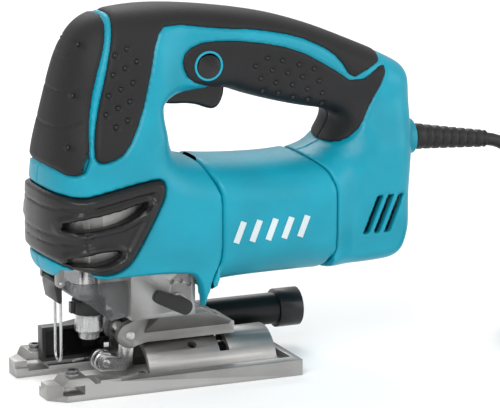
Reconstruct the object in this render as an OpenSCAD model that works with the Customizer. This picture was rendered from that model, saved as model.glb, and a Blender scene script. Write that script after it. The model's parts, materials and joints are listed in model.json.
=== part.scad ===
// Corded jigsaw with a D-handle.
// X runs from the blade (front, -X) to the cord (rear, +X), Z is up.
// The origin is the middle of the sole, on the surface that it rests on.

/* [Housing] */
// Height of the handle above the sole
tool_h = 207; // [200:1:220]
// Width of the front housing
front_w = 72; // [68:1:74]
// Width of the motor barrel
barrel_w = 74; // [70:1:76]
// Width of the rear housing
rear_w = 62; // [54:1:66]
// Width of the handle
handle_w = 41; // [36:1:46]
// Wall of the housing shells
wall = 3.6; // [3:0.1:4.4]
// Thickness of the soft grips
grip_t = 1.6; // [1:0.1:2]
// Air between the housing and the gear case
case_gap = 1.2; // [0.8:0.1:1.6]
// Wall of the gear case
case_wall = 4; // [3.5:0.1:4.5]

/* [Shoe] */
// Length of the shoe
shoe_l = 148; // [144:1:156]
// Width of the shoe
shoe_w = 77; // [77:1:86]
// Height of the shoe's side rails
rail_h = 8.6; // [8:0.1:10]
// Thickness of the shoe's web
web_t = 5; // [4:0.1:5.5]
// Width of the mouth between the prongs
mouth_w = 36; // [34:1:38]
// Radius of the trunnion that the shoe tilts on
trunnion_r = 21; // [20:0.1:21.4]
// Wall of the trunnion
trunnion_wall = 3.4; // [3:0.1:4]

/* [Drive] */
// Height of the armature axis
motor_z = 87; // [86:0.5:88]
// Bore of the motor barrel
barrel_bore = 56; // [54:1:56]
// Diameter of the armature shaft
shaft_d = 8; // [6:0.5:8]
// Diameter of the armature core
core_d = 33; // [28:0.5:33]
// Diameter of the commutator
commutator_d = 22; // [18:0.5:24]
// Distance from the armature axis to the crank gear axis
gear_distance = 28; // [26:0.5:28]
// Number of teeth on the pinion
pinion_teeth = 8; // [6:1:10]
// Number of teeth on the crank gear
gear_teeth = 34; // [30:1:40]
// Stroke of the plunger
stroke = 26; // [20:1:26]
// Diameter of the plunger
plunger_d = 10; // [8:0.5:10]
// Place of the plunger along the tool
plunger_x = -38; // [-39:0.5:-37]

/* [Blade end] */
// Outer diameter of the clamp sleeve
sleeve_d = 18.8; // [16:0.1:19]
// Diameter of the roller behind the blade
roller_d = 11.6; // [10:0.1:12]
// Width of the roller
roller_w = 9; // [7:0.5:9]
// Diameter of the retainer's pivot pin
pivot_d = 5.2; // [4:0.1:6]
// Wire of the finger guard
guard_d = 1.6; // [1.2:0.1:2]

/* [Controls] */
// Diameter of the lock-on button
button_d = 13; // [10:0.5:14]
// Length of the orbital lever from its hub to its tip
lever_l = 19; // [16:1:20]

/* [Cord] */
// Diameter of the cord
cord_d = 7.5; // [6:0.5:8]

/* [Fit] */
// Radial clearance of a running fit
run_fit = 0.05; // [0.02:0.01:0.08]
// Clearance between moving pieces
free_gap = 0.4; // [0.3:0.1:0.6]

/* [Hidden] */
$fn = 64;

blue = "#1f93ad";
black = "#26272a";
cast = "#a9abab";
steel = "#c9cbcd";
copper = "#b5652d";

lift = tool_h - 207;      // how far the handle stands above its usual height
inner = wall + case_gap;  // skin of the gear case, measured from the outside
far = 300;                // longer than anything it cuts
seam_front = 26;
handle_front = 8;         // where the front column narrows to the handle
column_z = 136;           // the wide lower body ends here
seam_rear = 95;
floor_z = 63;             // underside of the front housing
tab_z = 42;               // lower end of the tab behind the gear case
case_bottom = 38;
case_front_bottom = 70;
case_top = 146;
case_rear = 16;
case_low_front = -23;
case_low_w = 52;
gear_z = motor_z + gear_distance;
rest_rise = 5;            // the plunger rests this far above its lowest point
crank_r = stroke / 2;
yoke_z = gear_z - crank_r + rest_rise;
clamp_z = 24;             // lowest face of the blade clamp at rest
pivot_x = -19;
pivot_z = 26;
axle_x = -30.6;
axle_z = 10.2;
bracket_w = 27;
ear_in = 16.6;            // distance between the inner faces of the ears
bolt_x = 36;
hub_x = 3.5;
hub_z = 46;
button_x = 25;
button_z = 174 + lift;
trigger_x = 6;
trigger_z = 163 + lift;
trigger_pin_d = 3;
gland_x = 149;
gland_d = 20;
cord_z = 121;
guard_droop = 6.5;        // the guard leans down by this many degrees
guard_l = 55;
coil_x = 256;
coil_y = -35;
coil_turns = 3;           // turns side by side in a layer
coil_layers = 3;
coil_r = 5.2 * cord_d;    // middle of the turns
coil_w = coil_turns * cord_d + 0.5;
coil_h = coil_layers * cord_d + 0.5;
tail_r = 31;              // last bend of the cord, before the plug
plug_x = coil_x + coil_r - tail_r;
plug_y = coil_y - tail_r;
plug_z = coil_h + 12;
nozzle_y = 25;
nozzle_z = 22;
nozzle_r = 9;

// ---- outlines -------------------------------------------------------------------------

function unit(v) = v / norm(v);
function side_out(a, b) = let (t = unit(b - a)) [t[1], -t[0]];
function xz(p) = [p[0], p[1]];

// Moves every corner of a closed outline inwards by d. A corner is [x, z, radius].
// The outline turns anticlockwise, so its outside is on the right of each edge.
function inset(path, d) = [
    for (i = [0 : len(path) - 1])
        let (
            n = len(path),
            p = xz(path[i]),
            a = side_out(xz(path[(i + n - 1) % n]), p),
            b = side_out(p, xz(path[(i + 1) % n])),
            turn = a[0] * b[1] - a[1] * b[0],
            q = p - d * (a + b) / (1 + a * b)
        )
        [q[0], q[1], max(0.3, path[i][2] + (turn > 0 ? -d : d))]
];

// Replaces each corner by an arc of its radius, in short straight steps.
function rounded(path, steps = 6) = [
    for (i = [0 : len(path) - 1])
        let (
            n = len(path),
            p = xz(path[i]),
            u = unit(xz(path[(i + n - 1) % n]) - p),
            v = unit(xz(path[(i + 1) % n]) - p),
            half = acos(max(-0.9999, min(0.9999, u * v))) / 2,
            reach = path[i][2] / tan(half),
            centre = p + unit(u + v) * path[i][2] / sin(half),
            a = p + u * reach - centre,
            b = p + v * reach - centre,
            a0 = atan2(a[1], a[0]),
            sweep = (atan2(b[1], b[0]) - a0 + 540) % 360 - 180
        )
        for (k = [0 : steps])
            centre + path[i][2] * [cos(a0 + sweep * k / steps), sin(a0 + sweep * k / steps)]
];

// Extrudes an [x, z] outline across the tool, from y0 to y1.
module across(y0, y1) {
    translate([0, y1, 0])
        rotate([90, 0, 0])
            linear_extrude(y1 - y0)
                children();
}

// Extrudes a [y, z] outline along the tool, from x0 to x1.
module along(x0, x1) {
    translate([x0, 0, 0])
        rotate([90, 0, 90])
            linear_extrude(x1 - x0)
                children();
}

module box(x0, x1, y0, y1, z0, z1) {
    translate([x0, y0, z0])
        cube([x1 - x0, y1 - y0, z1 - z0]);
}

module rod_x(x0, x1, y, z, d) {
    translate([x0, y, z])
        rotate([0, 90, 0])
            cylinder(h = x1 - x0, d = d);
}

module rod_y(y0, y1, x, z, d) {
    translate([x, y1, z])
        rotate([90, 0, 0])
            cylinder(h = y1 - y0, d = d);
}

module rod_z(z0, z1, x, y, d) {
    translate([x, y, z0])
        cylinder(h = z1 - z0, d = d);
}

module both_sides() {
    children();
    mirror([0, 1, 0])
        children();
}

// The side view of the shells, without the barrel and the handle opening.
shell_side = [
    [-62, floor_z, 6], [6, floor_z, 4], [seam_front, 53, 1], [seam_front, 121, 1], [5, 126, 8], [2, 158 + lift, 8],
    [36, 162 + lift, 3], [52, 153 + lift, 12], [80, 145 + lift, 12], [104, 141 + lift, 9],
    [106, 126, 10], [seam_rear, 119, 3], [seam_rear, 55, 1], [132, 54, 8], [148, 66, 9],
    [153, 120, 20], [152, 162 + lift, 16], [118, 178 + lift, 24], [60, 200 + lift, 40],
    [0, 208 + lift, 30], [-38, 207 + lift, 14], [-54, 188 + lift, 20], [-66, 130, 24],
    [-67, 74, 8]
];

// Cross-sections as [y, z] outlines.
function front_section() = [
    [-32, floor_z - 25, 1], [32, floor_z - 25, 1], [32, floor_z, 1], [34, 71, 3],
    [front_w / 2, 82, 6], [front_w / 2, 120, 20], [front_w / 2 - 7, 160 + lift, 20],
    [20, tool_h + 3, 14], [-20, tool_h + 3, 14], [-front_w / 2 + 7, 160 + lift, 20],
    [-front_w / 2, 120, 20], [-front_w / 2, 82, 6], [-34, 71, 3], [-32, floor_z, 1]
];

function rear_section() = [
    [-rear_w / 2, 50, 10], [rear_w / 2, 50, 10], [rear_w / 2, 122, 12],
    [handle_w / 2, 146 + lift, 14], [handle_w / 2, tool_h + 3, 12], [-handle_w / 2, tool_h + 3, 12],
    [-handle_w / 2, 146 + lift, 14], [-rear_w / 2, 122, 12]
];

// Plan view: round nose and round rear corners.
function plan_outline() = [
    [-67, -front_w / 2, 26], [154, -front_w / 2, 22], [154, front_w / 2, 22],
    [-67, front_w / 2, 26]
];

module outer_solid(d) {
    intersection() {
        across(-far / 2, far / 2)
            polygon(rounded(inset(shell_side, d)));
        union() {
            intersection() {
                along(-far / 2, seam_front + 4)
                    polygon(rounded(inset(front_section(), d)));
                union() {
                    box(-far, handle_front - d, -far, far, 0, far);
                    box(-far, far, -far, far, 0, column_z - d);
                }
            }
            along(handle_front - d - 2, far)
                polygon(rounded(inset(rear_section(), d)));
        }
        linear_extrude(far)
            polygon(rounded(inset(plan_outline(), d)));
    }
}

// The tab that closes the front housing behind the gear case.
module tab() {
    intersection() {
        across(-34, 34)
            polygon([[14.8, tab_z], [20.5, tab_z], [22, 50], [seam_front, 56], [20, 64], [4, 64],
                [11, 61], [14, 57], [14.8, 53]]);
        difference() {
            box(0, far, -far, far, 0, far);
            box(-1, far, -27.5, 27.5, tab_z - 1, 56);
        }
    }
}

// Ways through the shells for the drive, the motor and the plunger.
module shell_openings() {
    box(case_rear, seam_front + 6, -30, 30, 56, 116);
    box(seam_rear - 6, seam_rear + 8, -26, 26, 60, 114);
    intersection() {
        box(-61.5, 8, -30.5, 30.5, floor_z - 8, floor_z + 8);
        linear_extrude(far)
            polygon(rounded(inset(plan_outline(), wall + 0.4)));
    }
    box(0, seam_front + 1, -27.5, 27.5, tab_z - 2, 70);
}

module vent_slot(x) {
    across(-far / 2, far / 2)
        polygon([[x, 95], [x - 8.5, 75], [x - 5.3, 75], [x + 3.4, 95]]);
}

// ---- grips ----------------------------------------------------------------------------

bumper_line = [
    [-80, 118], [-64, 111.5], [-54, 110], [-45, 111.5], [-16, 117], [-7, 116], [-6, 110],
    [-9, 102], [-24, 77], [-30, 69.5], [-38, 67], [-50, 68.5], [-62, 73], [-80, 82]
];

nose_line = [
    [-80, 131], [-66, 125.5], [-58, 122], [-49.5, 125], [-47.5, 148], [-43.5, 171],
    [-38, 189 + lift], [-34.5, 205 + lift], [-40, 214 + lift], [-80, 214 + lift]
];

side_line = [
    [-46, 129], [-30, 133], [-18, 151], [-12, 172 + lift], [-6, 194 + lift], [2, 198 + lift],
    [34, 193 + lift], [54, 192 + lift], [78, 186 + lift], [93, 179 + lift], [104, 173 + lift],
    [113, 157 + lift], [127, 172 + lift], [132, 190 + lift], [60, 215 + lift], [-29, 215 + lift],
    [-31.5, 206 + lift], [-34.5, 193 + lift], [-41.5, 161], [-46.5, 131]
];

palm_line = [
    [10, 174 + lift], [15, 166 + lift], [28, 160 + lift], [34, 150 + lift], [60, 135 + lift],
    [92, 120], [110, 128], [119, 142], [128, 160 + lift], [127, 172 + lift], [113, 157 + lift],
    [98, 167 + lift], [78, 179 + lift], [50, 185.5 + lift], [24, 187.5 + lift], [13, 183 + lift]
];

louvres = [
    [[-60, 92], [-58, 98], [-34, 101.5], [-18, 105.5], [-16, 103], [-23, 97], [-34, 94]],
    [[-60, 73.5], [-56, 78], [-34, 80.5], [-31, 78.5], [-36, 74.5], [-48, 73]]
];

module region(line, y0 = -far / 2, y1 = far / 2) {
    across(y0, y1)
        polygon(line);
}

module skin(t) {
    difference() {
        outer_solid(0);
        outer_solid(t);
    }
}

module grip(line, y0 = -far / 2, y1 = far / 2) {
    color(black)
        intersection() {
            skin(grip_t);
            region(line, y0, y1);
        }
}

module nose_grip() {
    grip(nose_line);
}

module handle_grip() {
    grip(side_line);
}

module palm_grip_left() {
    difference() {
        grip(palm_line, -far / 2, 0);
        button_hole();
        trigger_hole();
    }
}

module palm_grip_right() {
    difference() {
        grip(palm_line, 0, far / 2);
        trigger_hole();
    }
}

module front_bumper() {
    color(black)
        difference() {
            intersection() {
                skin(wall);
                region(bumper_line);
            }
            for (slot = louvres)
                region(slot);
        }
}

// ---- housing --------------------------------------------------------------------------

module button_hole() {
    rod_y(-far / 2, 0, button_x, button_z, button_d + 2 * free_gap);
}

module trigger_hole() {
    box(0.5, 39, -8, 8, 150 + lift, 172 + lift);
}

module cord_hole() {
    rod_x(140, 170, 0, cord_z, gland_d);
}

module shell() {
    difference() {
        union() {
            outer_solid(0);
            tab();
        }
        outer_solid(wall);
        shell_openings();
        button_hole();
        trigger_hole();
        cord_hole();
        for (x = [124, 130, 136])
            vent_slot(x);
        rod_y(-15, 15, trigger_x, trigger_z, trigger_pin_d);
        difference() {
            union() {
                region(nose_line);
                region(side_line);
                region(palm_line);
            }
            outer_solid(grip_t);
        }
        region(bumper_line);
    }
}

module half_shell() {
    intersection() {
        shell();
        box(-far, far, -far, 0, 0, far);
    }
}

// Each screw as [x, z, half the housing's width there].
screw_places = [
    [-4, 150.5, 30.7], [116.5, 71, rear_w / 2], [116.5, 112.5, rear_w / 2]
];

module screw_bores() {
    for (p = screw_places)
        rod_y(5, far / 2, p[0], p[1], 6.4);
}

module housing_left() {
    color(blue)
        half_shell();
}

module housing_right() {
    color(blue)
        difference() {
            mirror([0, 1, 0])
                half_shell();
            screw_bores();
        }
}

module housing_screws() {
    color(steel)
        for (p = screw_places) {
            rod_y(p[2] - 5, p[2] - 2.5, p[0], p[1], 6);
            rod_y(p[2] - 16, p[2] - 5, p[0], p[1], 3);
        }
}

barrel_section = [
    [-barrel_w / 2, 55, 24], [barrel_w / 2, 55, 24], [barrel_w / 2, 119, 26],
    [-barrel_w / 2, 119, 26]
];

module motor_housing() {
    color(blue)
        difference() {
            union() {
                along(seam_front, seam_rear)
                    polygon(rounded(barrel_section));
                rod_x(seam_rear, 99, 0, motor_z, 50);
                rod_x(99, 112, 0, motor_z, 26);
            }
            rod_x(seam_front - 1, 92, 0, motor_z, barrel_bore);
            rod_x(104, 113, 0, motor_z, 18);
            rod_x(91, 105, 0, motor_z, shaft_d + 4);
            both_sides()
                box(92, 100, 8, 20, motor_z - 6, motor_z + 6);
        }
}

// ---- gear case ------------------------------------------------------------------------

module case_solid() {
    difference() {
        intersection() {
            outer_solid(inner);
            box(-far, case_rear, -far, far, case_front_bottom, case_top);
        }
        intersection() {
            outer_solid(inner + case_wall);
            box(-far, case_rear - 8, -far, far, case_front_bottom + 8, case_top - 8);
        }
        rod_z(case_front_bottom - 1, case_front_bottom + 9, plunger_x, 0, 16);
        rod_z(case_top - 9, case_top + 1, plunger_x, 0, 14);
    }
}

cover_x = -48;

module gear_case() {
    color(cast)
        difference() {
            union() {
                intersection() {
                    case_solid();
                    box(cover_x, far, -far, far, 0, far);
                }
                box(case_low_front, 14.5, -case_low_w / 2, case_low_w / 2, case_bottom,
                    case_front_bottom);
                both_sides()
                    rod_y(case_low_w / 2, case_low_w / 2 + 2, hub_x, hub_z, 11);
            }
            box(case_low_front + 5, 8, -case_low_w / 2 + 5, case_low_w / 2 - 5, case_bottom + 4,
                case_front_bottom - 1);
            rod_x(case_rear - 9, case_rear + 1, 0, motor_z, 18);
            rod_x(case_rear - 20, case_rear + 1, 0, gear_z, 8);
            rod_y(-case_low_w / 2 - 3, -case_low_w / 2 + 6, hub_x, hub_z, 6.1);
            for (a = [-14, 12, 38])
                rod_y(-case_low_w / 2 - 1, -case_low_w / 2 + 1.2, hub_x + 12 * sin(a),
                    hub_z + 12 * cos(a), 2.6);
        }
}

module gear_case_cover() {
    color(cast)
        difference() {
            union() {
                intersection() {
                    case_solid();
                    box(-far, cover_x, -far, far, 0, far);
                }
                both_sides()
                    difference() {
                        union() {
                            box(-61.5, -57, 10.4, 13, 59.5, case_front_bottom + 2);
                            rod_y(10.4, 13, -59, 59.5, 5);
                        }
                        rod_y(10, 14, -59, 59.5, 2);
                    }
            }
            rod_z(case_front_bottom - 1, case_front_bottom + 5, -56, -4.5, guard_d);
            rod_z(case_front_bottom - 1, case_front_bottom + 5, -56, 4.5, guard_d);
        }
}

module case_screws() {
    color(steel)
        for (y = [-16, 16])
            rod_z(case_top, case_top + 3, -28, y, 6);
}

module shoe_bracket() {
    color(cast)
        difference() {
            union() {
                across(-bracket_w / 2, bracket_w / 2)
                    polygon([[-10, 21.5], [43, 21.5], [43, 28], [34, 31], [24, case_bottom],
                        [-16, case_bottom], [-16, 30], [-12, 26]]);
                both_sides() {
                    rod_y(ear_in / 2, bracket_w / 2, pivot_x, pivot_z, 14);
                    across(ear_in / 2, bracket_w / 2)
                        polygon([[-20, 32.9], [-9, case_bottom], [-9, 21.5], [-15, 20.2]]);
                    intersection() {
                        along(-14, 40)
                            polygon([[bracket_w / 2, 26.8], [26, 39], [26, 42.3], [13, 34]]);
                        across(0, far)
                            polygon([[-12, 24], [40, 24], [40, 29], [23, case_bottom],
                                [-6, case_bottom]]);
                    }
                }
            }
            rod_x(-far / 2, far / 2, 0, 0, 2 * trunnion_r + 1);
            rod_y(-bracket_w, bracket_w, pivot_x, pivot_z, pivot_d);
            box(-24, 26, -7, 7, 15, 33);
            box(-30, -11, -ear_in / 2, ear_in / 2, 15, case_bottom);
            rod_z(15, 40, bolt_x, 0, 5);
        }
}

module retainer_pin() {
    color(steel)
        rod_y(-bracket_w / 2 - 0.5, bracket_w / 2 + 0.5, pivot_x, pivot_z, pivot_d);
}

module guard_wire() {
    color(steel) {
        both_sides()
            rod_z(17.5, case_front_bottom + 5, -56, 4.5, guard_d);
        translate([-56, 0, 17.5])
            rotate([0, 90, 0])
                rotate([0, 0, -90])
                    rotate_extrude(angle = 180)
                        translate([4.5, 0])
                            circle(d = guard_d);
    }
}

module lever_pin() {
    color(steel)
        rod_y(-13.5, 13.5, -59, 59.5, 2);
}

module shoe_bolt() {
    color(steel) {
        rod_z(trunnion_r - trunnion_wall - 3 - 4, trunnion_r - trunnion_wall - 3, bolt_x, 0, 8.6);
        rod_z(trunnion_r - trunnion_wall - 3, 26, bolt_x, 0, 5);
    }
}

module shoe_clamp_plate() {
    color(steel)
        difference() {
            intersection() {
                rod_x(bolt_x - 9, bolt_x + 9, 0, 0, 2 * (trunnion_r - trunnion_wall) - 0.6);
                box(0, 60, -7, 7, trunnion_r - trunnion_wall - 3, 30);
            }
            rod_z(0, 40, bolt_x, 0, 5);
        }
}

// ---- motor ----------------------------------------------------------------------------

module ring_x(x0, x1, z, outer_d, inner_d) {
    difference() {
        rod_x(x0, x1, 0, z, outer_d);
        rod_x(x0 - 1, x1 + 1, 0, z, inner_d);
    }
}

module stator_core() {
    color("#6d7074")
        ring_x(44, 80, motor_z, barrel_bore, core_d + 1);
}

module field_coils() {
    color(copper) {
        ring_x(39, 44, motor_z, barrel_bore - 6, core_d + 1);
        ring_x(80, 82.5, motor_z, barrel_bore - 6, core_d + 1);
    }
}

module brush_holders() {
    color(black)
        both_sides()
            difference() {
                box(84.5, 91.8, commutator_d / 2 + 2, 26, motor_z - 6, motor_z + 6);
                box(85.8, 90.5, 0, 24.5, motor_z - 4, motor_z + 4);
            }
}

module carbon_brushes() {
    color("#3a3a3c")
        both_sides()
            box(85.8, 90.5, commutator_d / 2 + 0.1, 19, motor_z - 4, motor_z + 4);
}

module brush_springs() {
    color(steel)
        both_sides()
            difference() {
                rod_y(19, 24.5, 88.15, motor_z, 4);
                rod_y(18, 25, 88.15, motor_z, 2.6);
            }
}

module front_bearing() {
    color(steel)
        ring_x(case_rear - 7, case_rear, motor_z, 18, shaft_d + 2 * run_fit);
}

module rear_bearing() {
    color(steel)
        ring_x(104, 111, motor_z, 18, shaft_d + 2 * run_fit);
}

module armature_shaft() {
    color(steel)
        rod_x(-24, 114, 0, motor_z, shaft_d);
}

module armature_core() {
    color("#6d7074")
        difference() {
            ring_x(44, 80, motor_z, core_d, shaft_d);
            for (a = [0 : 30 : 359])
                translate([0, 0, motor_z])
                    rotate([a, 0, 0])
                        box(43, 81, -1, 1, core_d / 2 - 5, core_d);
        }
}

module armature_windings() {
    color(copper) {
        ring_x(39, 44, motor_z, core_d - 4, shaft_d);
        ring_x(80, 82.5, motor_z, core_d - 4, shaft_d);
    }
}

module commutator() {
    color(copper)
        ring_x(84, 91, motor_z, commutator_d, shaft_d);
}

module cooling_fan() {
    color(black) {
        ring_x(28, 30, motor_z, barrel_bore - 8, shaft_d);
        ring_x(30, 36, motor_z, 16, shaft_d);
        for (a = [0 : 36 : 359])
            translate([0, 0, motor_z])
                rotate([a, 0, 0])
                    box(30, 36, -0.8, 0.8, 7.9, barrel_bore / 2 - 5);
    }
}

// A straight-toothed wheel; the teeth are short prisms on a round body.
module toothed_wheel(x0, x1, z, teeth, root_d, tip_d, bore_d) {
    difference() {
        union() {
            rod_x(x0, x1, 0, z, root_d);
            for (k = [0 : teeth - 1])
                translate([0, 0, z])
                    rotate([360 * k / teeth, 0, 0])
                        along(x0, x1)
                            polygon([[-1.1, root_d / 2 - 0.6], [1.1, root_d / 2 - 0.6],
                                [0.5, tip_d / 2], [-0.5, tip_d / 2]]);
        }
        rod_x(x0 - 1, x1 + 1, 0, z, bore_d);
    }
}

pitch_total = 2 * gear_distance;
pinion_pitch = pitch_total * pinion_teeth / (pinion_teeth + gear_teeth);
gear_pitch = pitch_total - pinion_pitch;

module pinion() {
    color(steel)
        toothed_wheel(-23, -12, motor_z, pinion_teeth, pinion_pitch - 1.4, pinion_pitch - 0.1, shaft_d);
}

module crank_gear() {
    color(steel)
        toothed_wheel(-23, -14, gear_z, gear_teeth, gear_pitch - 4, gear_pitch - 0.6,
            8 + 2 * run_fit);
}

module gear_axle() {
    color(steel)
        rod_x(-23, case_rear - 1, 0, gear_z, 8);
}

crank_angle = asin((crank_r - rest_rise) / crank_r);

module crank_pin() {
    color(steel)
        rod_x(-31, -23, crank_r * cos(crank_angle), gear_z - crank_r * sin(crank_angle), 8);
}

// ---- plunger --------------------------------------------------------------------------

module plunger_rod() {
    color(steel)
        rod_z(clamp_z + 16, 150, plunger_x, 0, plunger_d);
}

module plunger_yoke() {
    color(steel)
        difference() {
            box(plunger_x - plunger_d / 2 - 1, -31.6, -20, 20, yoke_z - 8, yoke_z + 8);
            box(-33.4, -31, -18.5, 18.5, yoke_z - 5, yoke_z + 5);
            rod_z(yoke_z - 9, yoke_z + 9, plunger_x, 0, plunger_d);
        }
}

module bush(z0, z1, outer_d) {
    difference() {
        rod_z(z0, z1, plunger_x, 0, outer_d);
        rod_z(z0 - 1, z1 + 1, plunger_x, 0, plunger_d + 2 * run_fit);
    }
}

module plunger_bushes() {
    color("#b08d4a") {
        bush(case_front_bottom, case_front_bottom + 12, 16);
        bush(case_top - 8, case_top, 14);
    }
}

module plunger_seal() {
    color("#5c5a54")
        bush(case_front_bottom + 12, case_front_bottom + 15, 16);
}

module blade_clamp() {
    color(steel)
        difference() {
            translate([plunger_x, 0, clamp_z])
                rotate_extrude()
                    polygon([[0, 0], [5.6, 0], [6, 0.5], [6, 3.4], [7.8, 4], [8.2, 5], [7.2, 14],
                        [6, 14], [6, 24], [0, 24]]);
            box(plunger_x - 4, plunger_x + 4, -0.8, 0.8, clamp_z - 1, clamp_z + 15);
            rod_z(clamp_z + 16, clamp_z + 25, plunger_x, 0, plunger_d);
        }
}

module clamp_sleeve() {
    color(black)
        difference() {
            union() {
                rod_z(clamp_z + 14 + free_gap, clamp_z + 22, plunger_x, 0, sleeve_d);
                box(plunger_x - sleeve_d / 2 - 1.6, plunger_x, -2, 2, clamp_z + 15, clamp_z + 21);
            }
            rod_z(clamp_z, clamp_z + 30, plunger_x, 0, 12 + 2 * run_fit);
        }
}

// ---- blade end ------------------------------------------------------------------------

module release_lever() {
    color(black)
        difference() {
            union() {
                across(-10, 10)
                    polygon([[-61.2, 59.5], [-61.2, 56], [-59.6, 48], [-58, 47], [-57.2, 49],
                        [-57.2, 59.5]]);
                rod_y(-10, 10, -59, 59.5, 3.8);
            }
            rod_y(-11, 11, -59, 59.5, 2 + 2 * run_fit);
        }
}

cover_side = [
    [-54.6, 60], [-23.4, 60], [-23.4, 40], [-34, 38.5], [-47, 49], [-54.6, 53]
];

module dust_cover() {
    color("#8d9496")
        difference() {
            intersection() {
                region(cover_side);
                linear_extrude(far)
                    polygon(rounded([[-54.6, -23.4, 9], [-10, -23.4, 1], [-10, 23.4, 1],
                        [-54.6, 23.4, 9]]));
            }
            intersection() {
                box(-53, 0, -21.8, 21.8, 0, 62);
                linear_extrude(far)
                    polygon(rounded([[-53, -21.8, 7.4], [-10, -21.8, 1], [-10, 21.8, 1],
                        [-53, 21.8, 7.4]]));
            }
        }
}

module retainer_arm() {
    color(cast)
        difference() {
            union() {
                both_sides()
                    difference() {
                        union() {
                            rod_y(roller_w / 2 + 0.3, 7.5, axle_x, axle_z, 9);
                            across(roller_w / 2 + 0.3, 7.5)
                                polygon([[axle_x, axle_z - 4.5], [-20, 5.2], [-15.5, 8], [-14.4, 24],
                                    [-23.4, 24], [-23.6, 13.2], [axle_x, axle_z + 4.5]]);
                        }
                        rod_y(0, 10, axle_x, axle_z, 4);
                    }
                across(-7.5, 7.5)
                    polygon([[-23.6, 7], [-20, 5.2], [-15.5, 8], [-14.4, 24], [-23.4, 24]]);
                rod_y(-7.5, 7.5, pivot_x, pivot_z, 9.6);
            }
            rod_y(-9, 9, pivot_x, pivot_z, pivot_d + 2 * run_fit);
        }
}

module roller_axle() {
    color(steel)
        rod_y(-7.8, 7.8, axle_x, axle_z, 4);
}

module roller() {
    color(steel)
        translate([axle_x, 0, axle_z])
            rotate([90, 0, 0])
                rotate_extrude()
                    polygon([[2 + run_fit, -roller_w / 2], [roller_d / 2 - 0.6, -roller_w / 2],
                        [roller_d / 2, -roller_w / 2 + 0.6], [roller_d / 2, -1.2],
                        [roller_d / 2 - 1.6, -0.8], [roller_d / 2 - 1.6, 0.8], [roller_d / 2, 1.2],
                        [roller_d / 2, roller_w / 2 - 0.6], [roller_d / 2 - 0.6, roller_w / 2],
                        [2 + run_fit, roller_w / 2]]);
}

// ---- shoe -----------------------------------------------------------------------------

shoe_front = -shoe_l / 2;
shoe_rear = shoe_l / 2;
rail_w = 8.5;
boss_front = shoe_front + 6;
boss_h = 12.5;
slot_z = 3.4;
slot_h = 5;
slot_l = 12;

module shoe_outline(z0, z1) {
    translate([0, 0, z0])
        linear_extrude(z1 - z0)
            polygon([[shoe_front + 9, -shoe_w / 2], [shoe_rear - 1, -shoe_w / 2],
                [shoe_rear, -shoe_w / 2 + 1], [shoe_rear, shoe_w / 2 - 1],
                [shoe_rear - 1, shoe_w / 2], [shoe_front + 9, shoe_w / 2],
                [shoe_front, shoe_w / 2 - 8], [shoe_front, -shoe_w / 2 + 8]]);
}

module prong_boss() {
    across(mouth_w / 2 + 4, shoe_w / 2)
        polygon([[boss_front - 3, 0], [boss_front - 3, 4], [boss_front + 4, boss_h],
            [boss_front + 15, boss_h], [boss_front + 19, rail_h], [boss_front + 19, 0]]);
    rod_z(boss_h, boss_h + 1, boss_front + 9, mouth_w / 2 + 11, 8);
}

module shoe() {
    color(cast)
        difference() {
            union() {
                shoe_outline(0, web_t);
                difference() {
                    shoe_outline(0, rail_h);
                    box(shoe_front + 34, shoe_rear - 4, -shoe_w / 2 + rail_w, shoe_w / 2 - rail_w,
                        web_t, 20);
                    box(shoe_front - 1, shoe_front + 34, -mouth_w / 2 - 3, mouth_w / 2 + 3, web_t, 20);
                }
                intersection() {
                    both_sides()
                        prong_boss();
                    shoe_outline(0, 20);
                }
                both_sides()
                    box(shoe_front + 28, shoe_front + 40, shoe_w / 2 - rail_w, shoe_w / 2, 0,
                        rail_h + 1.6);
                intersection() {
                    rod_x(-10, 66, 0, 0, 2 * trunnion_r);
                    box(-10, 66, -30, 30, 0, 30);
                }
            }
            // hollow of the trunnion
            intersection() {
                rod_x(-11, 64, 0, 0, 2 * (trunnion_r - trunnion_wall));
                box(-11, 64, -30, 30, -1, 30);
            }
            // mouth for the blade, with a round inner end
            box(shoe_front - 1, -14, -mouth_w / 2, mouth_w / 2, -1, 30);
            rod_z(-1, web_t + 1, -14, 0, 24);
            // fence slots across the prongs
            box(boss_front + 1, boss_front + 1 + slot_l, -far, far, slot_z, slot_z + slot_h);
            // seats of the fence screws
            both_sides()
                rod_z(slot_z, boss_h + 2, boss_front + 9, mouth_w / 2 + 11, 5);
            // sight holes of the trunnion
            for (a = [36, -36])
                translate([18, 0, 0])
                    rotate([a, 0, 0])
                        rod_z(trunnion_r - trunnion_wall - 2, trunnion_r + 2, 0, 0, 5.2);
            // relief for the bracket's pivot boss as the shoe tilts
            box(-28, -10.2, -30, -17, web_t - 1.9, 20);
            // slot that the clamp bolt runs in as the shoe tilts
            intersection() {
                difference() {
                    rod_x(bolt_x - 2.8, bolt_x + 2.8, 0, 0, 2 * trunnion_r + 2);
                    rod_x(bolt_x - 3, bolt_x + 3, 0, 0, 2 * (trunnion_r - trunnion_wall) - 2);
                }
                along(bolt_x - 3, bolt_x + 3)
                    polygon([[0, 0], [-30, 30 * tan(37)], [-30, 40], [30 * tan(8), 40], [30 * tan(8), 30]]);
            }
        }
}

module fence_screws() {
    color(steel)
        both_sides()
            difference() {
                union() {
                    rod_z(slot_z + slot_h, boss_h + 1, boss_front + 9, mouth_w / 2 + 11, 5);
                    rod_z(boss_h + 1, boss_h + 3, boss_front + 9, mouth_w / 2 + 11, 7);
                }
                translate([boss_front + 9, mouth_w / 2 + 11, boss_h + 1.6])
                    cylinder(h = 2, d = 4, $fn = 6);
            }
}

module scoop(x0, x1, y0, z0, z1, back) {
    translate([0, 0, z0])
        linear_extrude(z1 - z0)
            polygon([[x0, y0], [x1, y0], [x1, 29.5 - back], [x1 - 8, 29.5 - back], [-47, 21.5 - back],
                [x0, 21.5 - back]]);
}

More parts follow.
